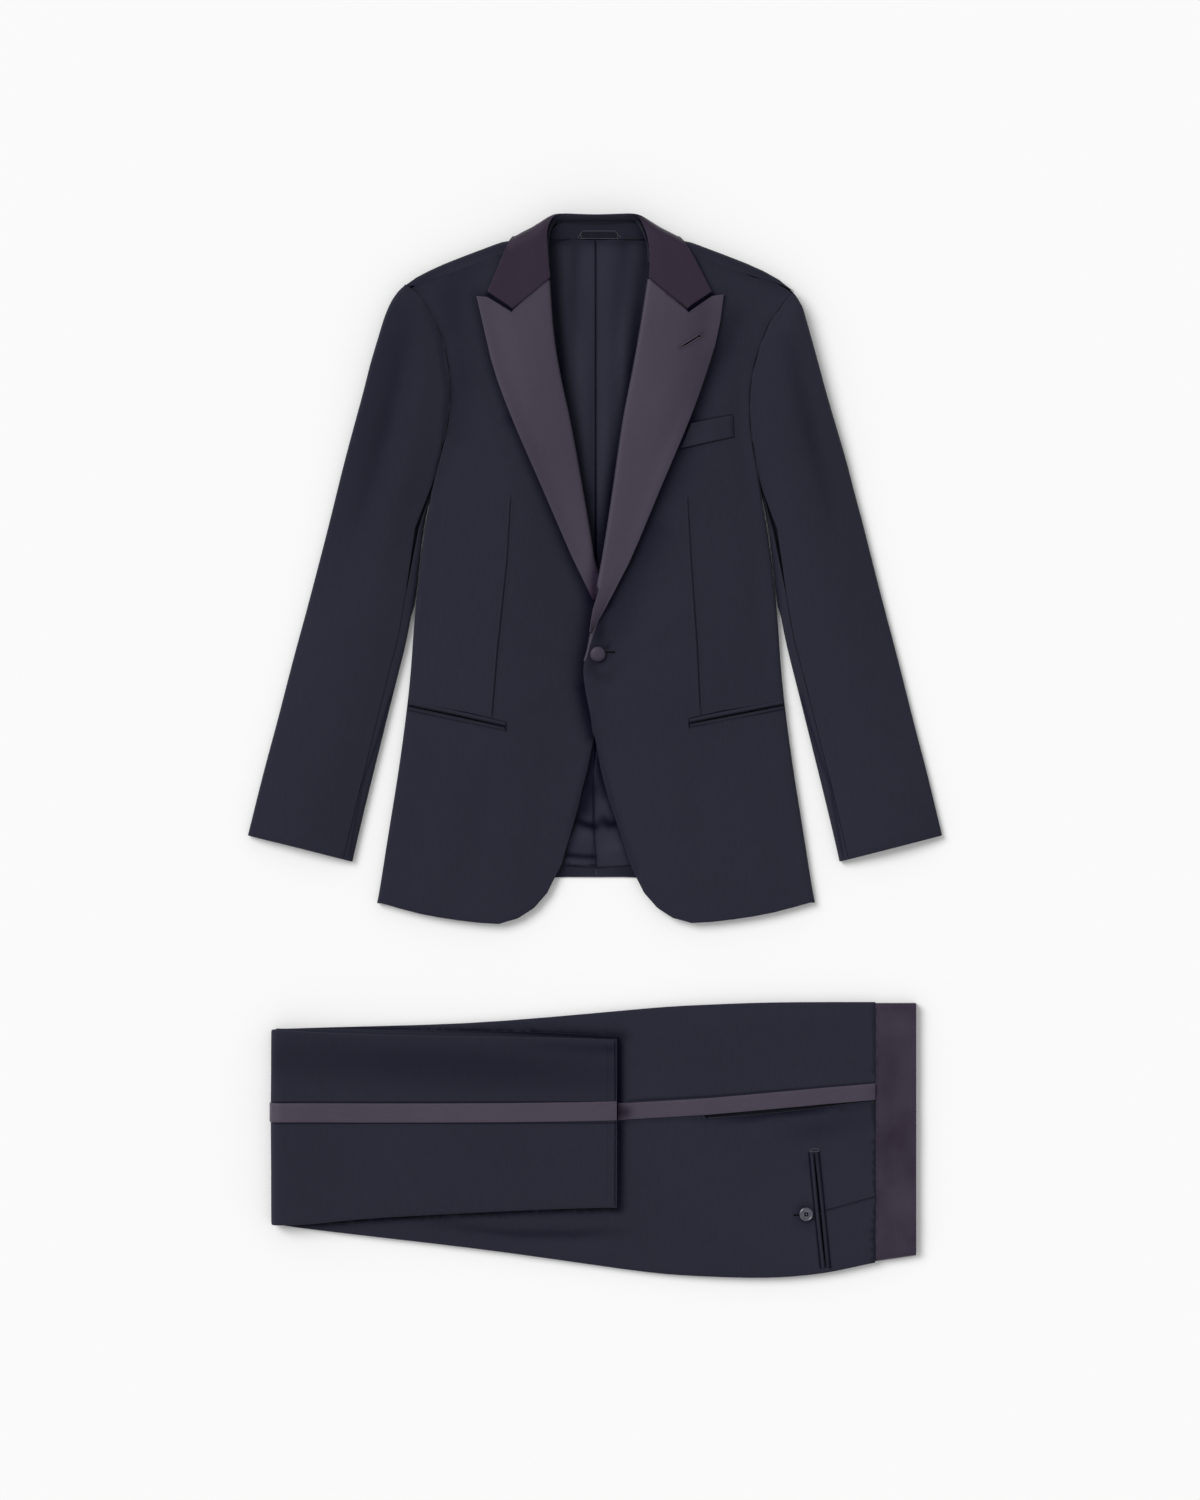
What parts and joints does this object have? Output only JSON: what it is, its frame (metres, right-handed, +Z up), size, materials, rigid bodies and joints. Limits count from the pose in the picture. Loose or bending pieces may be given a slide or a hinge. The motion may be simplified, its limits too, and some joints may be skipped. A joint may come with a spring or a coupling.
{
  "type": "tuxedo",
  "caption": "Dinner suit laid flat: satin-faced peak-lapel jacket with one covered button, and striped trousers folded across the knee.",
  "frame": {"origin": "on the table, below the middle of the box round jacket and trousers", "axes": "+Z up off the table, out of the garments' upper faces; +Y from the trousers to the jacket's collar; +X to the wearer's left"},
  "size_m": [0.7616, 1.1713, 0.0292],
  "materials": {
    "wool": "fine dark navy wool, matt",
    "lapel_satin": "plum-black satin with a soft sheen",
    "collar_satin": "darker plum-black satin",
    "lining": "smooth blue-black twill lining",
    "button": "polished dark grey"
  },
  "bodies": {
    "root": {"back_left": "wool", "back_right": "wool", "front_left": "wool", "front_right": "wool", "sleeve_left_top": "wool", "sleeve_left_under": "wool", "sleeve_right_top": "wool", "sleeve_right_under": "wool", "collar_stand": "wool", "neck_facing": "wool", "chest_welt": "wool", "hip_jets_left": "wool", "hip_jets_right": "wool", "leg_left_front": "wool", "leg_left_back": "wool", "leg_right_front": "wool", "leg_right_back": "wool", "back_jets": "wool", "lapel_left": "lapel_satin", "lapel_right": "lapel_satin", "front_button": "lapel_satin", "stripe_left": "lapel_satin", "stripe_right": "lapel_satin", "waistband": "lapel_satin", "collar": "collar_satin", "back_lining_left": "lining", "back_lining_right": "lining", "neck_label": "lining", "back_pocket_button": "button"}
  },
  "joints": []
}
